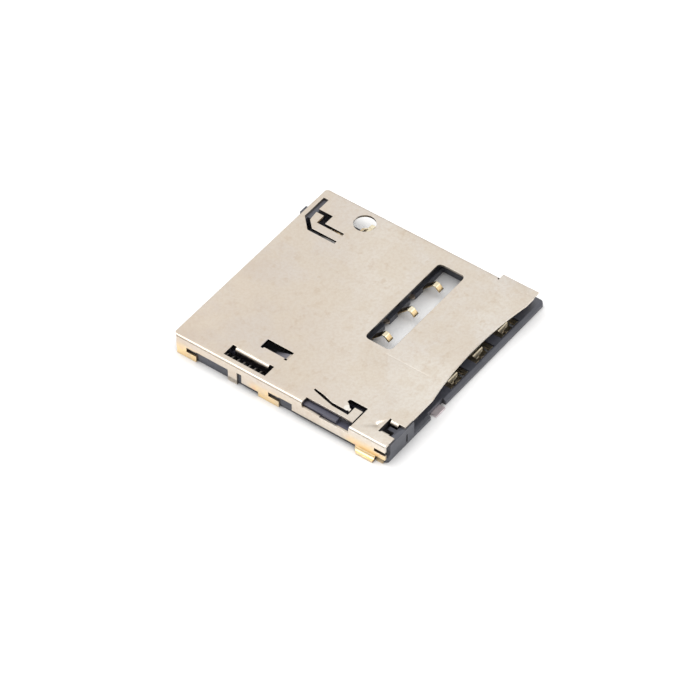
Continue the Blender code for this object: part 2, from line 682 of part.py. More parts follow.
def beam_line(crest):
    """Middle line of a sprung beam in (y, z), from inside its bar over the crest to the free end."""
    return [
        (crest + BEAM_RUN, BEAM_Z),
        (crest + CREST_FLAT / 2, CREST_Z),
        (crest - CREST_FLAT / 2, CREST_Z),
        (crest - TIP_RUN, CREST_Z + STRIP / 2 - TIP_DROP),
    ]


def front_strip_line():
    """Front contact from its solder foot under the bar, round the hairpin and out as the beam."""
    return [(HAIRPIN - FOOT_RUN, SOLDER_Z), (HAIRPIN, SOLDER_Z), (HAIRPIN, BEAM_Z)] + beam_line(FRONT_CREST)


def tail_line(start):
    """Embedded strip that leaves the rear face and steps down to the board."""
    return [(start, BEAM_Z), (BASE_REAR - TAIL_STEP[0], BEAM_Z), (BASE_REAR - TAIL_STEP[1], SOLDER_Z),
            (rear(-SOLDER_REACH), SOLDER_Z)]


TONGUE_THICK = STRIP - 4 * COINED


def pad_pieces(x):
    """Frame of the front pad in the column at x, its cranked tongue and the disc on the tongue."""
    frame = PAD_TONGUE / 2 + PAD_TONGUE_GAP
    side = PAD_WIDTH / 2
    y0 = front(PAD_ENDS[0])
    y1 = front(PAD_ENDS[1])
    bar = y1 - PAD_BAR
    pad = [(x - side, y0), (x - frame, y0), (x - frame, bar), (x + frame, bar), (x + frame, y0),
           (x + side, y0), (x + side, y1), (x - side, y1)]
    low = TONGUE_THICK / 2
    tongue = [(y1 - PAD_BAR / 2, BEAM_Z), (y1 - PAD_TONGUE_STEP[0], BEAM_Z),
              (y1 - PAD_TONGUE_STEP[1], low), (y0, low)]
    return [
        prism("pad", pad, BEAM_Z - STRIP / 2 + COINED, BEAM_Z + STRIP / 2 - COINED),
        bent("pad tongue", tongue, TONGUE_THICK, STRIP_BEND, x - PAD_TONGUE / 2, x + PAD_TONGUE / 2, "x"),
        cone("pad disc", x + DISC_PLACE[0], y0 + DISC_PLACE[1], low, STRIP + DISC_RISE,
             DISC_RADIUS, DISC_RADIUS - DISC_RISE / 2),
    ]


def make_front_pad(name, x, look):
    """Solder pad at the front edge, held by a strip that is moulded into the floor behind it."""
    half = STRIP_WIDTH / 2
    body = box(name, x - half, x + half, front(PAD_ENDS[1] - PAD_BAR + LAP), front(PAD_ANCHOR),
               BEAM_Z - STRIP / 2, BEAM_Z + STRIP / 2)
    combine(body, pad_pieces(x), "UNION")
    return dress(body, look)


def make_front_contact(name, x, look):
    half = STRIP_WIDTH / 2
    return dress(bent(name, front_strip_line(), STRIP, STRIP_BEND, x - half, x + half, "x"), look)


def make_rear_contact(name, x, look):
    half = STRIP_WIDTH / 2
    line = beam_line(REAR_CREST)[::-1] + tail_line(REAR_CREST + BEAM_RUN)[1:]
    return dress(bent(name, line, STRIP, STRIP_BEND, x - half, x + half, "x"), look)


# Card switch: a long blade on the far side and the fixed strip that it meets

def make_blade(look):
    y0 = front(BLADE_FRONT)
    rise_start, rise_end = rear(BLADE_RISE[0]), rear(BLADE_RISE[1])
    line = [(y0, BEAM_Z), (rise_start, BEAM_Z), (rise_end, BLADE_Z), (rise_end + BLADE_FLAT, BLADE_Z),
            (rise_end + BLADE_END, BLADE_Z - BLADE_DROP)]
    body = bent("detect_blade", line, STRIP, STRIP_BEND, *BLADE_X, "x")
    step_down, low = BLADE_TAIL_STEP
    tail = [(BLADE_X[0] + 2 * LAP, BEAM_Z), (BASE_X - step_down, BEAM_Z), (BASE_X - low, SOLDER_Z),
            (WALL_X + BLADE_TAIL_REACH, SOLDER_Z)]
    reach, hook_start, hook_end = BLADE_HOOK
    adds = [
        bent("blade tail", tail, STRIP - 2 * COINED, STRIP_BEND, y0 + COINED, y0 + BLADE_TAIL, "y"),
        box("blade hook", BLADE_X[1] - LAP, BLADE_X[1] + reach, rise_end + hook_start, rise_end + hook_end,
            BLADE_Z - STRIP / 2 + COINED, BLADE_Z + STRIP / 2 - COINED),
    ]
    combine(body, adds, "UNION")
    return dress(body, look)


def make_terminal(look):
    line = tail_line(rear(TERMINAL_START))
    return dress(bent("detect_terminal", line, STRIP, STRIP_BEND, *TERMINAL_X, "x"), look)


def front_tab_line():
    """Strip that is moulded into the floor, steps down to the board and comes out in the lip's gap."""
    step_down, low = FRONT_TAB_STEP
    return [(front(FRONT_TAB_END), BEAM_Z), (front(step_down), BEAM_Z), (front(low), SOLDER_Z),
            (front(-SOLDER_REACH), SOLDER_Z)]


def make_front_tab(look):
    sides = (near(FRONT_TAB[0]), near(FRONT_TAB[1]))
    return dress(bent("front_tab", front_tab_line(), STRIP, STRIP_BEND, *sides, "x"), look)


# Base

def base_outline():
    side = WALL_X + CORNER_REACH - SHEET - CLEAR
    side_end = front(CORNER_LENGTH) - LAP
    ledge = WALL_X + LEDGE_REACH
    ledge_end = front(LEDGE_LENGTH)
    return [
        (FACE_CORNER - BASE_X, LIP_FRONT), (ledge - LEDGE_CORNER, LIP_FRONT),
        (ledge, LIP_FRONT + LEDGE_CORNER), (ledge, ledge_end - LEDGE_CORNER),
        (ledge - LEDGE_CORNER, ledge_end), (side, ledge_end), (side, side_end), (BASE_X, side_end),
        (BASE_X, BASE_REAR), (-BASE_X, BASE_REAR), (-BASE_X, front(FACE_SETBACK)),
    ]


def base_walls():
    """Blocks, rail and walls that stand on the floor."""
    root = FLOOR_TOP / 2
    block = front(FRONT_BLOCK)
    seat = rear(SEAT_BLOCK)

    def wall(name, x0, x1, y0, y1, top=BASE_TOP):
        return box(name, x0, x1, y0, y1, root, top)

    return [
        wall("front block", -BASE_X, WAY_NEAR, front(FACE_SETBACK), block),
        wall("front block face", FACE_CORNER - BASE_X, WAY_NEAR, LIP_FRONT, front(2 * FACE_CORNER)),
        wall("rail", WAY_NEAR - RAIL_WIDTH, WAY_NEAR, block - LAP, rear(RAIL_END)),
        wall("low wall", -BASE_X, LOW_WALL - BASE_X, block - LAP, seat + LAP, LOW_WALL_TOP),
        wall("spring seat block", -BASE_X, SEAT_BLOCK_WIDTH - BASE_X, seat, BASE_REAR),
        wall("rear wall", -BASE_X, BASE_X, BASE_REAR - REAR_WALL, BASE_REAR),
        wall("corner block", far(CORNER_BLOCK[0]), BASE_X, rear(CORNER_BLOCK[1]), BASE_REAR),
        wall("rear lug", far(LUG[0]), far(LUG[1]), BASE_REAR - LAP, rear(-LUG_PROUD)),
        prism("spring peg", circle(COIL_X, COIL_Z, PEG_RADIUS, 12), seat - PEG_LENGTH, seat + LAP, "y"),
    ]


def front_cuts():
    """Lead-in, gap and groove of the solder tab, slit and pockets of the block, seat of the pin."""
    chamfer = LIP_CHAMFER + LAP
    tab = [near(place) for place in FRONT_TAB]
    gap = [near(place) for place in FRONT_TAB_GAP]
    slit = [near(place) for place in BLOCK_SLIT]
    flaps = [near(place) for place in NOTCH]
    corner, corner_end, corner_bottom = BLOCK_POCKET
    pocket_bottom = PLATE_UNDER - FLAP_DEPTH - POCKET_PLAY
    groove_start = PIN_RADIUS + CLEAR
    groove_end = PIN_RADIUS + 3 * CLEAR + PIN_SWING / PIN_REACH
    groove_rear = front(FRONT_BLOCK) + LAP
    return [
        prism("lead-in", [
            (LIP_FRONT - LAP, FLOOR_TOP - chamfer), (LIP_FRONT - LAP, FLOOR_TOP + LAP),
            (LIP_FRONT + chamfer, FLOOR_TOP + LAP)], WAY_NEAR, far(-PAST), "x"),
        box("front tab gap", *gap, LIP_FRONT - PAST, TAB_BACK, BELOW, ABOVE),
        bent("front tab groove", front_tab_line(), STRIP + 2 * CLEAR, STRIP_BEND,
             tab[0] - CLEAR, tab[1] + CLEAR, "x"),
        box("front tab groove mouth", tab[0] - CLEAR, tab[1] + CLEAR, LIP_FRONT - PAST,
            front(FRONT_TAB_STEP[0]), BELOW, SOLDER_Z),
        box("front block slit", *slit, LIP_FRONT - PAST, LIP_FRONT + BLOCK_SLIT_DEPTH, *BLOCK_SLIT_HEIGHTS),
        box("corner pocket", near(-PAST), near(corner), LIP_FRONT - PAST, front(corner_end),
            corner_bottom, ABOVE),
        box("flap pocket", flaps[0] - POCKET_PLAY, flaps[1] + POCKET_PLAY, front(FLAPS[0]) - POCKET_PLAY,
            front(FLAPS[1]) + SHEET, pocket_bottom, ABOVE),
        prism("pin hole", circle(PIN_X, PIN_Y, PIN_RADIUS + 2 * CLEAR, 12),
              FLOOR_TOP + PIN_FOOT - CLEAR, ABOVE),
        prism("pin groove", [
            (PIN_X - groove_start, PIN_Y - PIN_RADIUS), (PIN_X + groove_start, PIN_Y - PIN_RADIUS),
            (PIN_X + groove_end, groove_rear), (PIN_X - groove_end, groove_rear)],
            PIN_Z - PIN_RADIUS - 2 * CLEAR, ABOVE),
    ]


def row_opening(name, crest, far_side):
    return box(name, COLUMN_X[0] - OPENING_SIDE, COLUMN_X[-1] + far_side, crest - OPENING_FRONT,
               crest + BEAM_RUN, BELOW, ABOVE)


def column_cuts(x):
    """Window and seat of the front pad, grooves of its strip and of both contacts in the column."""
    side = PAD_WIDTH / 2
    half = STRIP_WIDTH / 2 + CLEAR
    y0 = front(PAD_ENDS[0])
    y1 = front(PAD_ENDS[1])
    top = BEAM_Z + STRIP / 2 + CLEAR
    bottom = BEAM_Z - STRIP / 2 - CLEAR
    return [
        box("pad window", x - side - PAD_WINDOW_PLAY, x + side + PAD_WINDOW_PLAY, y0 - PAD_WINDOW_PLAY,
            y1 - PAD_WINDOW_REAR, BELOW, ABOVE),
        box("pad seat", x - side - CLEAR, x + side + CLEAR, y1 - PAD_BAR, y1 + CLEAR, bottom, top),
        box("pad anchor groove", x - half, x + half, y1, front(PAD_ANCHOR) + CLEAR, bottom, top),
        box("front strip groove", x - half, x + half, BAR_FRONT - LAP, HAIRPIN + STRIP / 2 + CLEAR,
            BELOW, top),
        box("rear strip groove", x - half, x + half, REAR_CREST + BEAM_RUN - LAP, BASE_REAR + PAST,
            BELOW, top),
    ]


def switch_cuts():
    """Grooves of the blade, its tail and the terminal, and the side opening beside the blade's hook."""
    y0 = front(BLADE_FRONT)
    groove_start = y0 + BLADE_SEAT
    blade_end = rear(BLADE_RISE[1]) + BLADE_END + LAP
    top = BEAM_Z + STRIP / 2 + CLEAR
    bottom = BEAM_Z - STRIP / 2 - CLEAR
    start = rear(TERMINAL_START) - 2 * CLEAR
    terminal = (TERMINAL_X[0] - CLEAR, TERMINAL_X[1] + CLEAR)
    return [
        box("blade root groove", BLADE_X[0] - CLEAR, BLADE_X[1] + CLEAR, y0 - CLEAR, groove_start + LAP,
            bottom, top),
        box("blade groove", BLADE_X[0] - BLADE_PLAY, BLADE_X[1] + BLADE_PLAY, groove_start, blade_end,
            bottom, ABOVE),
        box("blade tail groove", BLADE_X[1] - LAP, far(-PAST), y0 - CLEAR, y0 + BLADE_TAIL + CLEAR,
            BELOW, top),
        box("terminal groove", *terminal, start, BASE_REAR + PAST, BELOW, top),
        box("terminal window", *terminal, start, rear(TERMINAL_WINDOW_END), BELOW, ABOVE),
        box("far side notch", far(FAR_NOTCH[0]), far(-PAST), rear(FAR_NOTCH[1]), rear(FAR_NOTCH[2]),
            BELOW, ABOVE),
    ]


def make_base(look):
    base = prism("base", base_outline(), 0, FLOOR_TOP)
    combine(base, base_walls(), "UNION")
    cuts = front_cuts() + switch_cuts()
    cuts.append(row_opening("front row opening", FRONT_CREST, OPENING_FAR))
    cuts.append(row_opening("rear row opening", REAR_CREST, OPENING_SIDE))
    for x in COLUMN_X:
        cuts += column_cuts(x)
    for x in COLUMN_X[:-1]:
        middle = x + PITCH / 2
        cuts.append(box("bar notch", middle - BAR_NOTCH / 2, middle + BAR_NOTCH / 2, FRONT_CREST,
                        BAR_FRONT + BAR_NOTCH_REAR, BELOW, ABOVE))
    combine(base, cuts, "DIFFERENCE")
    pillar = box("flap pillar", near(PILLAR[0]), near(PILLAR[1]), front(PILLAR_ENDS[0]),
                 front(PILLAR_ENDS[1]), PILLAR_BOTTOM, BASE_TOP - PILLAR_DROP)
    combine(base, [pillar], "UNION")
    return dress(base, look)


# Slider, spring and pin

def track_outline():
    """Outer wall of the cam track, with its loading leg near the wall and its return leg inside."""
    x = FOLLOWER_X
    y = FOLLOWER_Y
    half = PIN_RADIUS + TRACK_PLAY
    end = y - TRAVEL
    return [
        (x + half, y + half), (x - half, y + half), (x - half - PIN_SWING, end),
        (x - half - PIN_SWING, end - half), (x + PIN_SWING + half, end - half),
        (x + PIN_SWING + half, end + 2 * half),
    ]


def heart_outline():
    """The heart-shaped island that the follower goes round: point to the rear, notch to the front."""
    x = FOLLOWER_X
    point = FOLLOWER_Y - HEART_START
    lobes = FOLLOWER_Y - TRAVEL + HEART_END
    shoulder = (point + lobes) / 2
    right, left = HEART_SHOULDERS
    lobe_points = [(x + across, lobes + along) for across, along in HEART_LOBES]
    return [(x, point), (x + right, shoulder)] + lobe_points + [(x + left, shoulder)]


def make_slider(look):
    shoulder = rear(SLIDER_SHOULDER)
    end = rear(SLIDER_REAR)
    body = box("slider", SLIDER_NEAR, SLIDER_FAR, front(SLIDER_FRONT), shoulder, SLIDER_BOTTOM, SLIDER_TOP)
    rib = (CLEAR - BASE_X, CLEAR - BASE_X + RIB_WIDTH)
    rib_bottom = LOW_WALL_TOP + RIB_PLAY
    rib_start = front(SLIDER_FRONT) + RIB_SETBACKS[0]
    step = front(RIB_STEP)
    hook_front = end - HOOK_LENGTH
    adds = [
        box("rib", *rib, step, shoulder - RIB_SETBACKS[1], rib_bottom, PLATE_UNDER - RIB_HEADROOM),
        box("rib step", *rib, rib_start, step + LAP, rib_bottom, rib_bottom + RIB_STEP_HEIGHT),
        box("arm", SLIDER_FAR - ARM_WIDTH, SLIDER_FAR, shoulder - LAP, end, SLIDER_BOTTOM, SLIDER_TOP),
        prism("hook", [
            (SLIDER_FAR - LAP, hook_front), (SLIDER_FAR + HOOK_ROOT, hook_front),
            (SLIDER_FAR + HOOK_REACH, hook_front + HOOK_CHAMFER), (SLIDER_FAR + HOOK_REACH, end),
            (SLIDER_FAR - LAP, end)], SLIDER_BOTTOM, SLIDER_TOP),
        prism("peg", circle(COIL_X, COIL_Z - PEG_DROP, PEG_RADIUS, 12), shoulder - LAP,
              shoulder + PEG_LENGTH, "y"),
    ]
    combine(body, adds, "UNION")
    combine(body, [prism("cam track", track_outline(), TRACK_FLOOR, ABOVE)], "DIFFERENCE")
    combine(body, [prism("heart", heart_outline(), TRACK_FLOOR - LAP, SLIDER_TOP)], "UNION")
    return dress(body, look)


def make_pin(look):
    """Bent wire: a foot down in the base, a reach along the slider and a follower down in the track."""
    points = [
        Vector((PIN_X, PIN_Y, FLOOR_TOP + PIN_FOOT)), Vector((PIN_X, PIN_Y, PIN_Z)),
        Vector((FOLLOWER_X, FOLLOWER_Y, PIN_Z)),
        Vector((FOLLOWER_X, FOLLOWER_Y, TRACK_FLOOR + FOLLOWER_PLAY)),
    ]
    along = (points[2] - points[1]).normalized()
    up = Vector((0, 0, 1))
    line = [points[0]]
    for corner, side, turn in ((points[1], -up, along), (points[2], -along, -up)):
        for step in range(BEND_STEPS + 1):
            angle = math.pi / 2 * step / BEND_STEPS
            leave = side * (1 - math.sin(angle))
            line.append(corner + PIN_BEND * (leave + turn * (1 - math.cos(angle))))
    line.append(points[3])
    return dress(tube("cam_pin", line, PIN_RADIUS, PIN_SIDES), look, (PIN_X, PIN_Y, PIN_Z))


def make_spring(look):
    """Coil with a closed turn at each end, between the slider's shoulder and the seat."""
    start = rear(SLIDER_SHOULDER) + CLEAR + WIRE / 2
    end = rear(SEAT_BLOCK) - CLEAR - WIRE / 2
    close_run = CLOSED_PITCH * WIRE
    line = []
    for k in range(COIL_TURNS * COIL_FACETS + 1):
        turn = k / COIL_FACETS
        if turn < 1:
            y = start + close_run * turn
        elif turn > COIL_TURNS - 1:
            y = end - close_run * (COIL_TURNS - turn)
        else:
            share = (turn - 1) / (COIL_TURNS - 2)
            y = start + close_run + (end - start - 2 * close_run) * share
        angle = 2 * math.pi * turn
        line.append((COIL_X + COIL_RADIUS * math.cos(angle), y, COIL_Z + COIL_RADIUS * math.sin(angle)))
    return dress(tube("spring", line, WIRE / 2, COIL_SIDES), look)


def build():
    clear_scene()
    nickel = material("shell nickel", NICKEL, 0.38, 1.0)
    plastic = material("base plastic", BASE_GREY, 0.5, 0.0)
    gold = material("contact gold", GOLD, 0.3, 1.0)
    grey = material("slider plastic", SLIDER_GREY, 0.45, 0.0)
    steel = material("steel wire", STEEL, 0.3, 1.0)
    make_shell(nickel)
    make_base(plastic)
    for k, x in enumerate(COLUMN_X):
        make_front_pad(f"front_pad_{k + 1}", x, gold)
        make_front_contact(f"front_contact_{k + 1}", x, gold)
        make_rear_contact(f"rear_contact_{k + 1}", x, gold)
    make_blade(gold)
    make_terminal(gold)
    make_front_tab(nickel)
    make_slider(grey)
    make_pin(steel)
    make_spring(steel)


build()
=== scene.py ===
import json
import math

import bmesh
import bpy
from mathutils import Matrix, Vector


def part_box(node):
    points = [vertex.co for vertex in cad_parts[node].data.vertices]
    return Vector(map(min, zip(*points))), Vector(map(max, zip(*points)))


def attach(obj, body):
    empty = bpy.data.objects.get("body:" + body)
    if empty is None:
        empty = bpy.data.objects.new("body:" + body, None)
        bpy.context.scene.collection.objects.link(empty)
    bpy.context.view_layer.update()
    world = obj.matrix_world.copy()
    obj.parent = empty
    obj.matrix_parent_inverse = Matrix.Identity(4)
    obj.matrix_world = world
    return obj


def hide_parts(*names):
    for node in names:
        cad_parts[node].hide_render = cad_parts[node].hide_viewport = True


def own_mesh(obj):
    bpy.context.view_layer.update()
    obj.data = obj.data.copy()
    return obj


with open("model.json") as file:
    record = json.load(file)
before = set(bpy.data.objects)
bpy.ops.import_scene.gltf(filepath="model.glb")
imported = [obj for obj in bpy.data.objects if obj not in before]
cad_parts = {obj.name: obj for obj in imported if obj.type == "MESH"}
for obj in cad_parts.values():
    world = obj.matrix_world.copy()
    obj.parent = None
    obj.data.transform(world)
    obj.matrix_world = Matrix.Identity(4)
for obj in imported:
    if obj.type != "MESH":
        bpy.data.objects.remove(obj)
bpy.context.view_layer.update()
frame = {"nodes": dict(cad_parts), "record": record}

MM = 0.001

# Colours, as linear red, green and blue
NICKEL = (0.76, 0.675, 0.565)
# Ends of the painted reflection gradient on the plate, pale at the mouth and darker at the rear; the pale
# one is also the default cloud colour
NICKEL_PALE = (0.87, 0.82, 0.74)
NICKEL_WARM = (0.685, 0.585, 0.49)
NICKEL_LILAC = (0.76, 0.70, 0.64)
TARNISH = (0.62, 0.49, 0.36)
GOLD_FLASH = (0.96, 0.74, 0.43)
GOLD_BLUSH = (0.93, 0.62, 0.42)
# Painted highlight on the shell's edges and on the lip by the leaf arm
PALE_HIGHLIGHT = (0.98, 0.94, 0.87)
# Painted shade in slots, under edges and on cut faces
RECESS = (0.030, 0.024, 0.021)
INNER_SHADE = (0.10, 0.09, 0.10)
TONGUE_SHADE = (0.27, 0.265, 0.31)
GOLD = (0.98, 0.90, 0.68)
# Dull gold of the contacts' mottling, and painted shade below their crests
GOLD_DULL_AND_SHADE = (0.60, 0.45, 0.25)
# Painted highlight on the edges of the small metal pieces
GOLD_HIGHLIGHT = (1.0, 0.93, 0.72)
PAD_GOLD = (0.66, 0.58, 0.43)
PAD_DULL = (0.40, 0.34, 0.25)
TAB_TIN = (0.90, 0.82, 0.84)
TAB_DULL = (0.72, 0.63, 0.64)
STEEL = (0.20, 0.185, 0.17)
STEEL_DULL = (0.11, 0.10, 0.09)
TIE_TIN = (0.50, 0.43, 0.37)
TIE_DULL = (0.36, 0.31, 0.27)
BASE_GREY = (0.068, 0.072, 0.092)
BASE_PALE = (0.125, 0.132, 0.160)
SLIDER_GREY = (0.085, 0.085, 0.125)
SLIDER_PALE = (0.15, 0.15, 0.21)
PAPER = (0.97, 0.97, 0.97)
PAPER_DARKER = (0.965, 0.965, 0.965)
PAPER_SHADE = (0.12, 0.11, 0.11)
HORIZON = (0.30, 0.29, 0.28)
OVERHEAD = (0.97, 0.965, 0.96)
BLACK = (0.0, 0.0, 0.0)
WHITE = (1.0, 1.0, 1.0)

# Places and sizes below are in millimetres, unless a comment says otherwise

# Painted reflection gradient on the plate's nickel: paler at the mouth, darker and warmer along Y less a
# share of X, between two places
REFLECTION_SLANT = 0.6
REFLECTION_RANGE = (-9.0, 12.0)

# Gold flash on the solder feet: middle and half length of each foot along Y
FEET = ((-6.45, 1.00), (0.70, 0.80), (6.75, 0.80))
FEET_FADE = 1.0
SIDE_FACES = (7.33, 7.45)   # distances from the middle between which the side walls begin
FLASH_TOP = (0.45, 1.15)    # heights between which the flash fades out

# Shade on the parts of the shell that reach inwards, and on its cut faces
INNER_HEIGHTS = (1.24, 1.38)
INNER_AREA = (7.20, 7.35)   # half sizes of the plan between which the inner shade ends
CUT_AREA = (6.30, 6.40)     # half sizes of the plan between which the shade of cut faces ends
CUT_TILTS = (0.25, 0.55)    # size of the normal's Z, without unit, from cut face to plate
TONGUE_X = (-5.32, -4.65)
TONGUE_Y = (1.06, 2.95)
TONGUE_FADES = (0.03, 0.10)

# Painted highlight on the lip by the leaf arm
LIP_HIGHLIGHT_MIDDLE = (-6.30, -4.07)
LIP_HIGHLIGHT_RADII = (0.17, 0.25)

# Shallow crease pressed in the plate
CREASE_X = -1.53
CREASE_Y = (-6.70, -2.90)
CREASE_FADE = 0.5
CREASE_WIDTH = 0.07

# Relief of the plate, as shares of the distance of its bump
PLATE_BUMP = 0.03
WAVE_RELIEF = 1.6
GRAIN_RELIEF = 0.04
CREASE_RELIEF = 0.22
SCRATCH_RELIEF = 0.2

# Front contacts: heights between which painted shade below gives way to a painted highlight on the crest
CREST_HEIGHTS = (0.86, 0.94)

# Meshes: distance of merged points, and angles of flat, sharp and bevelled edges in degrees
MERGED = 0.0005
FLAT_ANGLE = 1.0
SHARP_ANGLE = 30
BEVEL_ANGLE = 35

# Ends of the cut tie bars in the notches of the contact bar: middles along X, width, and the other limits
TIE_X = (1.52, 4.06)
TIE_WIDTH = 0.30
TIE_Y = (-1.36, -0.98)
TIE_Z = (0.24, 0.34)
TIE_STEPS = 8              # flats around the rounded front
TIE_BEVEL = 0.015
TIE_BEVEL_ANGLE = 40       # degrees

# Coil spring
WIRE = 0.11
COIL_TURNS = 11
STEPS_PER_TURN = 24
WIRE_SIDES = 10
CLOSED_RUN = 0.125         # length of each closed end turn

# Floor
FLOOR_HALF = 1500.0
FLOOR_DROP = 0.005
FLOOR_DIM = 0.35           # strength of the shade around the object
FLOOR_GLOW = 0.20          # brightness that is added where the floor is seen

# Room: share of the way up between which it brightens, and strength
ROOM_HEIGHTS = (0.12, 0.55)
ROOM_STRENGTH = 0.975

# Camera
CAMERA_AZIMUTH = -53.56    # degrees, 0 looks along +Y
CAMERA_ELEVATION = 46.2
CAMERA_DISTANCE = 250.2
CAMERA_TARGET = (-2.53, -1.47, 1.45)
CAMERA_LENS = 221.2
CAMERA_SENSOR = 36.0
CAMERA_CLIP = (0.01, 10.0)   # metres


# Node helpers

def socket(group, name, kind, way, value=None):
    made = group.interface.new_socket(name=name, in_out=way, socket_type=kind)
    if value is not None:
        made.default_value = value


def node(tree, kind, **settings):
    made = tree.nodes.new(kind)
    for key, value in settings.items():
        setattr(made, key, value)
    return made


def feed(tree, target, value):
    """Links a socket, or sets a number, a vector or a colour on the target's own socket."""
    if isinstance(value, bpy.types.NodeSocket):
        tree.links.new(value, target)
    elif isinstance(value, tuple) and len(value) < len(target.default_value):
        target.default_value = (*value, 1.0)
    else:
        target.default_value = value


def ramp(tree, value, low, high, invert=False):
    """Maps value from low..high to 0..1, or to 1..0, with soft ends."""
    made = node(tree, "ShaderNodeMapRange", interpolation_type="SMOOTHSTEP")
    feed(tree, made.inputs["From Min"], low)
    feed(tree, made.inputs["From Max"], high)
    feed(tree, made.inputs["To Min"], 1.0 if invert else 0.0)
    feed(tree, made.inputs["To Max"], 0.0 if invert else 1.0)
    feed(tree, made.inputs["Value"], value)
    return made.outputs["Result"]


def span(tree, value, limits, invert=False):
    """Ramp of a place or a distance between two limits in millimetres."""
    return ramp(tree, value, limits[0] * MM, limits[1] * MM, invert)


def mix_colour(tree, factor, first, second):
    made = node(tree, "ShaderNodeMix", data_type="RGBA")
    for key, value in (("Factor_Float", factor), ("A_Color", first), ("B_Color", second)):
        feed(tree, next(s for s in made.inputs if s.identifier == key), value)
    return next(s for s in made.outputs if s.identifier == "Result_Color")


def calc(tree, operation, first, second=0.0):
    made = node(tree, "ShaderNodeMath", operation=operation)
    feed(tree, made.inputs[0], first)
    feed(tree, made.inputs[1], second)
    return made.outputs[0]


def product(tree, first, *others):
    for value in others:
        first = calc(tree, "MULTIPLY", first, value)
    return first


def apart(tree, value, middle):
    """Distance of a place from a middle in millimetres."""
    return calc(tree, "ABSOLUTE", calc(tree, "SUBTRACT", value, middle * MM))


def between(tree, value, limits, fade):
    """1 between two limits in millimetres, fading out inside each of them."""
    low, high = limits
    rising = span(tree, value, (low, low + fade))
    falling = span(tree, value, (high - fade, high), invert=True)
    return product(tree, rising, falling)


def noise(tree, coordinates, scale, detail=2.0, roughness=0.5):
    made = node(tree, "ShaderNodeTexNoise")
    feed(tree, made.inputs["Detail"], detail)
    feed(tree, made.inputs["Roughness"], roughness)
    feed(tree, made.inputs["Scale"], scale)
    feed(tree, made.inputs["Vector"], coordinates)
    return made.outputs["Fac"]


def object_place(tree):
    return node(tree, "ShaderNodeTexCoord").outputs["Object"]


def surface_normal(tree):
    return node(tree, "ShaderNodeNewGeometry").outputs["Normal"]


def separate(tree, vector):
    made = node(tree, "ShaderNodeSeparateXYZ")
    feed(tree, made.inputs[0], vector)
    return made.outputs


def combine(tree, *values):
    made = node(tree, "ShaderNodeCombineXYZ")
    for target, value in zip(made.inputs, values):
        feed(tree, target, value)
    return made.outputs["Vector"]


# Shader groups

def new_group(name, inputs, outputs):
    """Empty shader group with float or colour inputs from their values, and outputs by type."""
    group = bpy.data.node_groups.new(name, "ShaderNodeTree")
    for key, value in inputs.items():
        kind = "NodeSocketColor" if isinstance(value, tuple) else "NodeSocketFloat"
        socket(group, key, kind, "INPUT", (*value, 1.0) if isinstance(value, tuple) else value)
    for key, kind in outputs.items():
        socket(group, key, f"NodeSocket{kind}", "OUTPUT")
    start = node(group, "NodeGroupInput")
    end = node(group, "NodeGroupOutput")
    return group, start.outputs, end.inputs


def mottle_group():
    """Thin plating: broad clouds of a second colour, freckles and speckles of tarnish, and a fine grain."""
    group, given, out = new_group("mottled plating", {
        "Colour": NICKEL, "Cloud Colour": NICKEL_PALE, "Freckle Colour": TARNISH, "Cloud Scale": 330.0,
        "Cloud Amount": 0.6, "Freckle Scale": 1500.0, "Freckle Amount": 0.3, "Speckle Amount": 0.12,
        "Grain Scale": 14000.0, "Roughness": 0.35,
    }, {"Colour": "Color", "Roughness": "Float", "Height": "Float"})
    place = object_place(group)
    speckle_scale = calc(group, "MULTIPLY", given["Grain Scale"], 0.35)
    clouds = noise(group, place, given["Cloud Scale"], detail=4.0, roughness=0.6)
    freckles = noise(group, place, given["Freckle Scale"], detail=3.0, roughness=0.7)
    speckles = noise(group, place, speckle_scale, roughness=0.6)
    grain = noise(group, place, given["Grain Scale"], roughness=0.6)
    cloud = product(group, ramp(group, clouds, 0.42, 0.60), given["Cloud Amount"])
    freckle = product(group, ramp(group, freckles, 0.52, 0.74), given["Freckle Amount"])
    speckle = product(group, ramp(group, speckles, 0.36, 0.66), given["Speckle Amount"])
    colour = mix_colour(group, cloud, given["Colour"], given["Cloud Colour"])
    colour = mix_colour(group, freckle, colour, given["Freckle Colour"])
    colour = mix_colour(group, speckle, colour, given["Freckle Colour"])
    fine = product(group, calc(group, "SUBTRACT", grain, 0.5), 0.12)
    wide = product(group, calc(group, "SUBTRACT", clouds, 0.5), 0.18)
    feed(group, out["Colour"], colour)
    feed(group, out["Roughness"], calc(group, "ADD", given["Roughness"], calc(group, "ADD", fine, wide)))
    feed(group, out["Height"], grain)
    return group


def edge_group():
    """Mask of the edges, from how far the rounded normal turns from the face's own, for painted highlights
    on edges; also gives the rounded normal.
    """
    group, given, out = new_group("worn edge", {"Width": 0.03 * MM}, {"Mask": "Float", "Normal": "Vector"})
    bevel = node(group, "ShaderNodeBevel", samples=6)
    feed(group, bevel.inputs["Radius"], given["Width"])
    match = node(group, "ShaderNodeVectorMath", operation="DOT_PRODUCT")
    feed(group, match.inputs[0], bevel.outputs["Normal"])
    feed(group, match.inputs[1], surface_normal(group))
    feed(group, out["Mask"], ramp(group, match.outputs["Value"], 0.72, 0.99, invert=True))
    feed(group, out["Normal"], bevel.outputs["Normal"])
    return group


def recess_group():
    """Mask of painted shade in slots, under edges and on the floor by the object, where little of the room
    is open to the surface.
    """
    group, given, out = new_group("recess", {"Reach": 0.6 * MM, "Open": 0.62, "Amount": 0.8},
                                  {"Mask": "Float"})
    hidden = node(group, "ShaderNodeAmbientOcclusion", samples=8)
    feed(group, hidden.inputs["Distance"], given["Reach"])
    mask = ramp(group, hidden.outputs["AO"], 0.10, given["Open"], invert=True)
    feed(group, out["Mask"], product(group, mask, given["Amount"]))
    return group


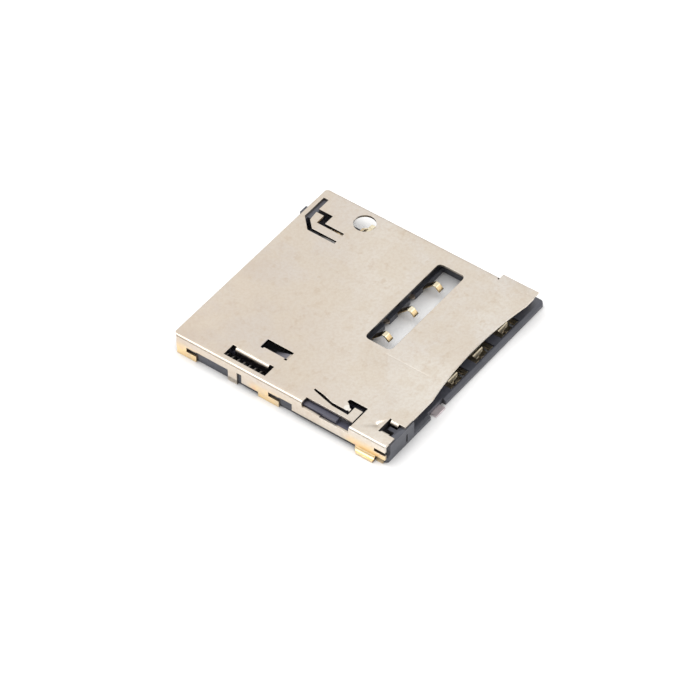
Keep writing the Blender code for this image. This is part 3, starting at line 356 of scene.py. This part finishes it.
def scratch_group():
    """Mask of a few hairline handling marks, as thin bands of a stretched noise."""
    group, given, out = new_group("hairline scratches", {"Scale": 90.0, "Angle": 0.4, "Amount": 0.5},
                                  {"Mask": "Float"})
    place = object_place(group)
    turned = node(group, "ShaderNodeVectorRotate", rotation_type="Z_AXIS")
    feed(group, turned.inputs["Vector"], place)
    feed(group, turned.inputs["Angle"], given["Angle"])
    stretched = node(group, "ShaderNodeMapping", vector_type="TEXTURE")
    feed(group, stretched.inputs["Scale"], (30.0, 1.0, 1.0))
    feed(group, stretched.inputs["Vector"], turned.outputs["Vector"])
    field = noise(group, stretched.outputs["Vector"], product(group, given["Scale"], 14.0), detail=1.0)
    away = calc(group, "ABSOLUTE", calc(group, "SUBTRACT", field, 0.5))
    line = ramp(group, away, 0.0, 0.012, invert=True)
    where = ramp(group, noise(group, place, given["Scale"]), 0.60, 0.68)
    feed(group, out["Mask"], product(group, line, where, given["Amount"]))
    return group


MOTTLE = mottle_group()
EDGE = edge_group()
RECESSED = recess_group()
SCRATCHES = scratch_group()


def use_group(tree, group, **values):
    """Adds a group's node; an underscore in a value's name stands for a space."""
    made = node(tree, "ShaderNodeGroup", node_tree=group)
    for name, value in values.items():
        feed(tree, made.inputs[name.replace("_", " ")], value)
    return made.outputs


def blank(name):
    made = bpy.data.materials.new(name)
    made.use_nodes = True
    return made, made.node_tree, made.node_tree.nodes["Principled BSDF"]


def bump(tree, shader, height, strength, distance, normal):
    made = node(tree, "ShaderNodeBump")
    feed(tree, made.inputs["Strength"], strength)
    feed(tree, made.inputs["Distance"], distance * MM)
    feed(tree, made.inputs["Height"], height)
    feed(tree, made.inputs["Normal"], normal)
    feed(tree, shader.inputs["Normal"], made.outputs["Normal"])


# Finish of the shell

def plate_reflection_and_tone(tree, place, x, y):
    """Colour of the nickel: a painted reflection gradient, pale at the mouth and darker and warm at the
    rear, with broad lilac clouds.
    """
    slanted = calc(tree, "SUBTRACT", y, product(tree, x, REFLECTION_SLANT))
    tone = mix_colour(tree, span(tree, slanted, REFLECTION_RANGE), NICKEL_PALE, NICKEL_WARM)
    broad = ramp(tree, noise(tree, place, scale=150.0), 0.42, 0.62)
    return mix_colour(tree, product(tree, broad, 0.6), tone, NICKEL_LILAC)


def add_flash(tree, colour, place, x, y, z):
    """Patchy gold flash, low on the solder feet."""
    foot = 0.0
    for middle, half in FEET:
        close = span(tree, apart(tree, y, middle), (half, half + FEET_FADE), invert=True)
        foot = calc(tree, "MAXIMUM", foot, close)
    side = span(tree, calc(tree, "ABSOLUTE", x), SIDE_FACES)
    low = span(tree, z, FLASH_TOP, invert=True)
    patch = ramp(tree, noise(tree, place, scale=1100.0, detail=3.0, roughness=0.6), 0.30, 0.58)
    uneven = calc(tree, "ADD", 0.45, product(tree, patch, 0.55))
    blush = ramp(tree, noise(tree, place, scale=2600.0), 0.54, 0.75)
    gold = mix_colour(tree, blush, GOLD_FLASH, GOLD_BLUSH)
    return mix_colour(tree, product(tree, foot, side, low, uneven), colour, gold)


def add_local_shades(tree, colour, x, y, z):
    """Shade on the inward parts, the tongue and the cut faces, and a painted highlight on the lip."""
    reach = calc(tree, "MAXIMUM", calc(tree, "ABSOLUTE", x), calc(tree, "ABSOLUTE", y))
    lower = span(tree, z, INNER_HEIGHTS, invert=True)
    inner = span(tree, reach, INNER_AREA, invert=True)
    colour = mix_colour(tree, product(tree, lower, inner, 0.92), colour, INNER_SHADE)
    across = between(tree, x, TONGUE_X, TONGUE_FADES[0])
    along = between(tree, y, TONGUE_Y, TONGUE_FADES[1])
    colour = mix_colour(tree, product(tree, across, along, 0.95), colour, TONGUE_SHADE)
    # Painted highlight on the lip by the leaf arm
    away = node(tree, "ShaderNodeVectorMath", operation="DISTANCE")
    feed(tree, away.inputs[0], combine(tree, x, y))
    feed(tree, away.inputs[1], (LIP_HIGHLIGHT_MIDDLE[0] * MM, LIP_HIGHLIGHT_MIDDLE[1] * MM, 0.0))
    lip_highlight = span(tree, away.outputs["Value"], LIP_HIGHLIGHT_RADII, invert=True)
    colour = mix_colour(tree, lip_highlight, colour, PALE_HIGHLIGHT)
    tilt = calc(tree, "ABSOLUTE", separate(tree, surface_normal(tree))["Z"])
    upright = ramp(tree, tilt, *CUT_TILTS, invert=True)
    slots = span(tree, reach, CUT_AREA, invert=True)
    return mix_colour(tree, product(tree, upright, slots, 0.9), colour, RECESS)


def plate_height(tree, place, x, y, grain, scratches):
    """Relief of the plate: slow waves and a fine grain, less the crease and the hairline marks."""
    across = ramp(tree, apart(tree, x, CREASE_X), 0.0, CREASE_WIDTH * MM, invert=True)
    crease = product(tree, across, between(tree, y, CREASE_Y, CREASE_FADE))
    waves = noise(tree, place, scale=260.0, detail=1.0)
    height = calc(tree, "ADD", product(tree, grain, GRAIN_RELIEF), product(tree, waves, WAVE_RELIEF))
    height = calc(tree, "SUBTRACT", height, product(tree, crease, CREASE_RELIEF))
    return calc(tree, "SUBTRACT", height, product(tree, scratches, SCRATCH_RELIEF))


def shell_nickel():
    """Mottled nickel over the sheet with a painted reflection gradient, the gold flash, hairline marks,
    painted highlights on the edges and painted shade in recesses.
    """
    made, tree, shader = blank("shell nickel")
    place = object_place(tree)
    x, y, z = separate(tree, place)
    plating = use_group(tree, MOTTLE, Colour=plate_reflection_and_tone(tree, place, x, y), Cloud_Colour=NICKEL,
                        Cloud_Scale=430.0, Cloud_Amount=0.6, Freckle_Amount=0.38, Speckle_Amount=0.20,
                        Roughness=0.33)
    scratches = use_group(tree, SCRATCHES, Amount=0.25)["Mask"]
    edge = use_group(tree, EDGE, Width=0.03 * MM)
    # Painted shade in slots and under edges
    painted_shade = use_group(tree, RECESSED, Reach=0.55 * MM, Amount=0.9)["Mask"]
    colour = add_flash(tree, plating["Colour"], place, x, y, z)
    colour = mix_colour(tree, scratches, colour, TARNISH)
    # Painted highlight on the edges
    colour = mix_colour(tree, product(tree, edge["Mask"], 0.55), colour, PALE_HIGHLIGHT)
    colour = add_local_shades(tree, colour, x, y, z)
    feed(tree, shader.inputs["Base Color"], mix_colour(tree, painted_shade, colour, RECESS))
    feed(tree, shader.inputs["Roughness"], plating["Roughness"])
    feed(tree, shader.inputs["Metallic"], 1.0)
    height = plate_height(tree, place, x, y, plating["Height"], scratches)
    bump(tree, shader, height, 1.0, PLATE_BUMP, edge["Normal"])
    return made


# Other finishes

def plated(name, colour, dull_and_shade, roughness, cloud_scale, painted_shade, edge_highlight=0.5, crest_highlight=None):
    """Small metal pieces: mottled plating, painted highlights on the edges and painted shade in corners,
    and, where asked, a painted highlight on the crest over painted shade below it.
    """
    made, tree, shader = blank(name)
    tone = colour
    # Painted highlight on the crest over painted shade below it
    if crest_highlight:
        crest = span(tree, separate(tree, object_place(tree))["Z"], crest_highlight)
        tone = mix_colour(tree, crest, dull_and_shade, colour)
    plating = use_group(tree, MOTTLE, Colour=tone, Cloud_Colour=dull_and_shade, Cloud_Amount=0.3, Freckle_Colour=dull_and_shade,
                        Cloud_Scale=cloud_scale, Freckle_Scale=4 * cloud_scale, Roughness=roughness)
    edge = use_group(tree, EDGE, Width=0.025 * MM)
    # Painted highlight on the edges
    mixed = mix_colour(tree, product(tree, edge["Mask"], edge_highlight), plating["Colour"], GOLD_HIGHLIGHT)
    # Painted shade in corners
    hidden = use_group(tree, RECESSED, Reach=0.4 * MM, Amount=painted_shade)["Mask"]
    feed(tree, shader.inputs["Base Color"], mix_colour(tree, hidden, mixed, RECESS))
    feed(tree, shader.inputs["Roughness"], plating["Roughness"])
    feed(tree, shader.inputs["Metallic"], 1.0)
    bump(tree, shader, plating["Height"], 0.10, 0.01, edge["Normal"])
    return made


def moulded(name, colour, pale, roughness):
    """Filled plastic with a fine eroded grain, paler in patches, with painted highlights along its edges
    and painted shade in its recesses.
    """
    made, tree, shader = blank(name)
    place = object_place(tree)
    grain = noise(tree, place, scale=9000.0, detail=3.0, roughness=0.65)
    clouds = noise(tree, place, scale=800.0, detail=3.0, roughness=0.6)
    edge = use_group(tree, EDGE, Width=0.04 * MM)
    # Painted highlight along the edges, paler like the random patches
    highlit = product(tree, edge["Mask"], 0.85)
    patch = product(tree, ramp(tree, clouds, 0.38, 0.70), 0.40)
    mixed = mix_colour(tree, calc(tree, "MAXIMUM", highlit, patch), colour, pale)
    scratches = use_group(tree, SCRATCHES, Scale=240.0, Amount=0.4)["Mask"]
    mixed = mix_colour(tree, scratches, mixed, pale)
    # Painted shade in recesses
    hidden = use_group(tree, RECESSED, Reach=0.7 * MM, Amount=0.9)["Mask"]
    feed(tree, shader.inputs["Base Color"], mix_colour(tree, hidden, mixed, RECESS))
    rough = calc(tree, "ADD", product(tree, grain, 0.16), roughness - 0.08)
    feed(tree, shader.inputs["Roughness"], rough)
    feed(tree, shader.inputs["IOR"], 1.68)
    bump(tree, shader, grain, 0.30, 0.008, edge["Normal"])
    return made


# Pieces: smooth copies of the frame's solids, with small bevels

def body_of(name):
    for body, members in frame["record"]["behaviour"]["bodies"].items():
        if name in members:
            return body
    raise KeyError(name)


def new_object(name, data):
    made = bpy.data.objects.new(name, data)
    bpy.context.scene.collection.objects.link(made)
    return made


def apply_modifiers(piece):
    """Puts the mesh that the modifiers make in the place of the piece's own."""
    piece.update_tag()
    bpy.context.view_layer.update()
    evaluated = piece.evaluated_get(bpy.context.evaluated_depsgraph_get())
    plain = bpy.data.meshes.new_from_object(evaluated)
    piece.modifiers.clear()
    piece.data = plain


def dressed(name, piece_name, look, bevel=0.0):
    """Merged copy of a node's mesh with smooth bends and, where asked, a small bevel on its edges."""
    shape = bmesh.new()
    shape.from_mesh(frame["nodes"][name].data)
    bmesh.ops.remove_doubles(shape, verts=shape.verts, dist=MERGED * MM)
    bmesh.ops.dissolve_limit(shape, angle_limit=math.radians(FLAT_ANGLE), verts=shape.verts,
                             edges=shape.edges)
    mesh = bpy.data.meshes.new(piece_name)
    shape.to_mesh(mesh)
    shape.free()
    mesh.materials.clear()
    mesh.materials.append(look)
    mesh.shade_smooth()
    mesh.set_sharp_from_angle(angle=math.radians(SHARP_ANGLE))
    piece = new_object(piece_name, mesh)
    if bevel:
        modifier = piece.modifiers.new("small bevel", "BEVEL")
        modifier.width = bevel * MM
        modifier.segments = 2
        modifier.limit_method = "ANGLE"
        modifier.angle_limit = math.radians(BEVEL_ANGLE)
        modifier.harden_normals = True
        apply_modifiers(piece)
    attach(piece, body_of(name))
    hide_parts(name)


def coil_path(tree, given, turn):
    """Places on a coil wound along Y with a closed turn at each end, from the count of turns so far."""
    first = calc(tree, "MINIMUM", turn, 1.0)
    last_start = calc(tree, "SUBTRACT", given["Turns"], 1.0)
    last = calc(tree, "MAXIMUM", calc(tree, "SUBTRACT", turn, last_start), 0.0)
    open_turns = calc(tree, "SUBTRACT", calc(tree, "SUBTRACT", turn, first), last)
    open_run = calc(tree, "SUBTRACT", given["Length"], product(tree, given["Closed Run"], 2.0))
    pitch = calc(tree, "DIVIDE", open_run, calc(tree, "SUBTRACT", given["Turns"], 2.0))
    closed = product(tree, calc(tree, "ADD", first, last), given["Closed Run"])
    along = calc(tree, "ADD", closed, product(tree, open_turns, pitch))
    angle = product(tree, turn, 2 * math.pi)
    across = product(tree, calc(tree, "COSINE", angle), given["Coil Radius"])
    upward = product(tree, calc(tree, "SINE", angle), given["Coil Radius"])
    place = node(tree, "ShaderNodeVectorMath", operation="ADD")
    feed(tree, place.inputs[0], combine(tree, across, along, upward))
    feed(tree, place.inputs[1], given["Start"])
    return place.outputs["Vector"]


def spring_tree(look, sizes):
    """Geometry tree of the wire along its coil."""
    tree = bpy.data.node_groups.new("coil", "GeometryNodeTree")
    for key, value in sizes.items():
        kind = "Vector" if isinstance(value, tuple) else "Float"
        socket(tree, key, f"NodeSocket{kind}", "INPUT", value)
    socket(tree, "Geometry", "NodeSocketGeometry", "OUTPUT")
    given = node(tree, "NodeGroupInput").outputs
    out = node(tree, "NodeGroupOutput").inputs
    points = node(tree, "GeometryNodeMeshLine")
    feed(tree, points.inputs["Count"], COIL_TURNS * STEPS_PER_TURN + 1)
    index = node(tree, "GeometryNodeInputIndex").outputs["Index"]
    turn = calc(tree, "DIVIDE", index, float(STEPS_PER_TURN))
    wound = node(tree, "GeometryNodeSetPosition")
    feed(tree, wound.inputs["Geometry"], points.outputs["Mesh"])
    feed(tree, wound.inputs["Position"], coil_path(tree, given, turn))
    curve = node(tree, "GeometryNodeMeshToCurve")
    feed(tree, curve.inputs["Mesh"], wound.outputs["Geometry"])
    profile = node(tree, "GeometryNodeCurvePrimitiveCircle")
    feed(tree, profile.inputs["Resolution"], WIRE_SIDES)
    feed(tree, profile.inputs["Radius"], given["Wire Radius"])
    tube = node(tree, "GeometryNodeCurveToMesh")
    feed(tree, tube.inputs["Fill Caps"], True)
    feed(tree, tube.inputs["Curve"], curve.outputs["Curve"])
    feed(tree, tube.inputs["Profile Curve"], profile.outputs["Curve"])
    smooth = node(tree, "GeometryNodeSetShadeSmooth")
    feed(tree, smooth.inputs["Geometry"], tube.outputs["Mesh"])
    real = node(tree, "GeometryNodeRealizeInstances")
    feed(tree, real.inputs["Geometry"], smooth.outputs["Geometry"])
    finish = node(tree, "GeometryNodeSetMaterial")
    feed(tree, finish.inputs["Material"], look)
    feed(tree, finish.inputs["Geometry"], real.outputs["Geometry"])
    feed(tree, out["Geometry"], finish.outputs["Geometry"])
    return tree


def coil_spring(look):
    """The spring's coil, wound inside the box of its solid."""
    low, high = (Vector(corner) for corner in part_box("spring"))
    middle = (low + high) / 2
    wire = WIRE * MM
    sizes = {
        "Turns": float(COIL_TURNS), "Coil Radius": (high.x - low.x - wire) / 2, "Wire Radius": wire / 2,
        "Length": high.y - low.y - wire, "Closed Run": CLOSED_RUN * MM,
        "Start": (middle.x, low.y + wire / 2, middle.z),
    }
    tree = spring_tree(look, sizes)
    piece = new_object("coil_spring", bpy.data.meshes.new("coil_spring"))
    modifier = piece.modifiers.new("coil", "NODES")
    modifier.node_group = tree
    for item in tree.interface.items_tree:
        if item.item_type == "SOCKET" and item.in_out == "INPUT":
            modifier[item.identifier] = sizes[item.name]
    apply_modifiers(piece)
    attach(piece, body_of("spring"))
    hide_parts("spring")
    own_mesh(piece)


def tie_ends(look):
    """Ends of the cut tie bars that show in the notches, rounded in front."""
    shape = bmesh.new()
    half = TIE_WIDTH / 2
    for middle in TIE_X:
        outline = [(middle + half, TIE_Y[1]), (middle - half, TIE_Y[1])]
        for k in range(TIE_STEPS + 1):
            angle = math.pi * (1 + k / TIE_STEPS)
            outline.append((middle + half * math.cos(angle), TIE_Y[0] + half * (1 + math.sin(angle))))
        rings = [[shape.verts.new((x * MM, y * MM, z * MM)) for x, y in outline] for z in TIE_Z]
        shape.faces.new(rings[0][::-1])
        shape.faces.new(rings[1])
        for k in range(len(outline)):
            n = (k + 1) % len(outline)
            shape.faces.new((rings[0][k], rings[0][n], rings[1][n], rings[1][k]))
    bmesh.ops.recalc_face_normals(shape, faces=shape.faces)
    edges = [edge for edge in shape.edges if edge.calc_face_angle() > math.radians(TIE_BEVEL_ANGLE)]
    bmesh.ops.bevel(shape, geom=edges, offset=TIE_BEVEL * MM, segments=2, affect="EDGES")
    mesh = bpy.data.meshes.new("tie_bar_ends")
    shape.to_mesh(mesh)
    shape.free()
    mesh.materials.append(look)
    piece = new_object("tie_bar_ends", mesh)
    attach(piece, "housing")


def make_pieces():
    shell = shell_nickel()
    tab = plated("tab tin", TAB_TIN, TAB_DULL, roughness=0.50, cloud_scale=900.0, painted_shade=0.2)
    gold = plated("contact gold", GOLD, GOLD_DULL_AND_SHADE, roughness=0.20, cloud_scale=1500.0, painted_shade=0.6,
                  edge_highlight=0.8, crest_highlight=CREST_HEIGHTS)
    pad = plated("pad gold", PAD_GOLD, PAD_DULL, roughness=0.30, cloud_scale=1200.0, painted_shade=0.3,
                 edge_highlight=0.9)
    steel = plated("wire steel", STEEL, STEEL_DULL, roughness=0.35, cloud_scale=2000.0, painted_shade=0.8,
                   edge_highlight=0.0)
    tie = plated("tie tin", TIE_TIN, TIE_DULL, roughness=0.60, cloud_scale=1500.0, painted_shade=0.2,
                 edge_highlight=0.1)
    base = moulded("base plastic", BASE_GREY, BASE_PALE, roughness=0.42)
    slider = moulded("slider plastic", SLIDER_GREY, SLIDER_PALE, roughness=0.42)
    dressed("shell", "shell_sheet", shell)
    dressed("base", "base_moulding", base)
    dressed("slider", "slider_moulding", slider, bevel=0.02)
    dressed("cam_pin", "latch_pin", steel)
    dressed("front_tab", "front_solder_tab", tab, bevel=0.015)
    dressed("detect_blade", "switch_blade", gold, bevel=0.012)
    dressed("detect_terminal", "switch_terminal", gold, bevel=0.015)
    for k in (1, 2, 3):
        dressed(f"front_pad_{k}", f"pad_{k}", pad, bevel=0.008)
        dressed(f"front_contact_{k}", f"front_beam_{k}", gold, bevel=0.015)
        dressed(f"rear_contact_{k}", f"rear_beam_{k}", gold, bevel=0.015)
    coil_spring(steel)
    tie_ends(tie)


# Floor, light and camera

def seen(tree):
    """1 for camera, glossy and transmission rays."""
    path = node(tree, "ShaderNodeLightPath").outputs
    either = calc(tree, "MAXIMUM", path["Is Camera Ray"], path["Is Glossy Ray"])
    return calc(tree, "MAXIMUM", either, path["Is Transmission Ray"])


def floor():
    """White paper that is dimmed close to the object, and glows a little where it is seen."""
    side = FLOOR_HALF * MM
    mesh = bpy.data.meshes.new("floor")
    mesh.from_pydata([(-side, -side, 0), (side, -side, 0), (side, side, 0), (-side, side, 0)], [],
                     [(0, 1, 2, 3)])
    made = new_object("floor", mesh)
    made.location.z = -FLOOR_DROP * MM
    look, tree, shader = blank("floor paper")
    paper = mix_colour(tree, noise(tree, object_place(tree), scale=60.0), PAPER, PAPER_DARKER)
    shaded = use_group(tree, RECESSED, Reach=0.9 * MM, Open=0.96, Amount=1.0)["Mask"]
    glow = product(tree, seen(tree), calc(tree, "SUBTRACT", 1.0, shaded), FLOOR_GLOW)
    dimmed = mix_colour(tree, product(tree, shaded, FLOOR_DIM), paper, PAPER_SHADE)
    feed(tree, shader.inputs["Base Color"], dimmed)
    feed(tree, shader.inputs["Roughness"], 0.9)
    feed(tree, shader.inputs["Specular IOR Level"], 0.0)
    feed(tree, shader.inputs["Emission Color"], mix_colour(tree, glow, BLACK, WHITE))
    feed(tree, shader.inputs["Emission Strength"], 1.0)
    mesh.materials.append(look)


def toward(azimuth, elevation):
    """Direction from the object, where azimuth 0 is the -Y side and 90 the +X side."""
    a = math.radians(azimuth)
    e = math.radians(elevation)
    return Vector((math.sin(a) * math.cos(e), -math.cos(a) * math.cos(e), math.sin(e)))


def soft_light(name, azimuth, elevation, distance, size, power):
    """Round lamp that looks at the object; distance and size are in metres."""
    light = bpy.data.lights.new(name, "AREA")
    light.shape = "DISK"
    light.size = size
    light.energy = power
    made = new_object(name, light)
    direction = toward(azimuth, elevation)
    made.location = direction * distance
    made.rotation_euler = direction.to_track_quat("Z", "Y").to_euler()


def studio():
    """Room, bright overhead and dim at the horizon, with a soft key behind and a weak lamp in front."""
    world = bpy.data.worlds.new("studio")
    world.use_nodes = True
    tree = world.node_tree
    upward = separate(tree, node(tree, "ShaderNodeTexCoord").outputs["Generated"])["Z"]
    back = tree.nodes["Background"]
    feed(tree, back.inputs["Color"], mix_colour(tree, ramp(tree, upward, *ROOM_HEIGHTS), HORIZON, OVERHEAD))
    feed(tree, back.inputs["Strength"], ROOM_STRENGTH)
    bpy.context.scene.world = world
    soft_light("key", azimuth=194, elevation=60, distance=0.60, size=0.42, power=1.0)
    soft_light("low_window", azimuth=40, elevation=27, distance=0.60, size=0.16, power=0.075)


def camera():
    """Camera that was fitted to the photograph."""
    lens = bpy.data.cameras.new("camera")
    lens.lens = CAMERA_LENS
    lens.sensor_width = CAMERA_SENSOR
    lens.clip_start, lens.clip_end = CAMERA_CLIP
    made = new_object("camera", lens)
    back = toward(CAMERA_AZIMUTH, CAMERA_ELEVATION)
    made.location = (Vector(CAMERA_TARGET) + back * CAMERA_DISTANCE) * MM
    made.rotation_euler = back.to_track_quat("Z", "Y").to_euler()
    bpy.context.scene.camera = made


make_pieces()
floor()
studio()
camera()
bpy.context.scene.view_settings.view_transform = "Standard"
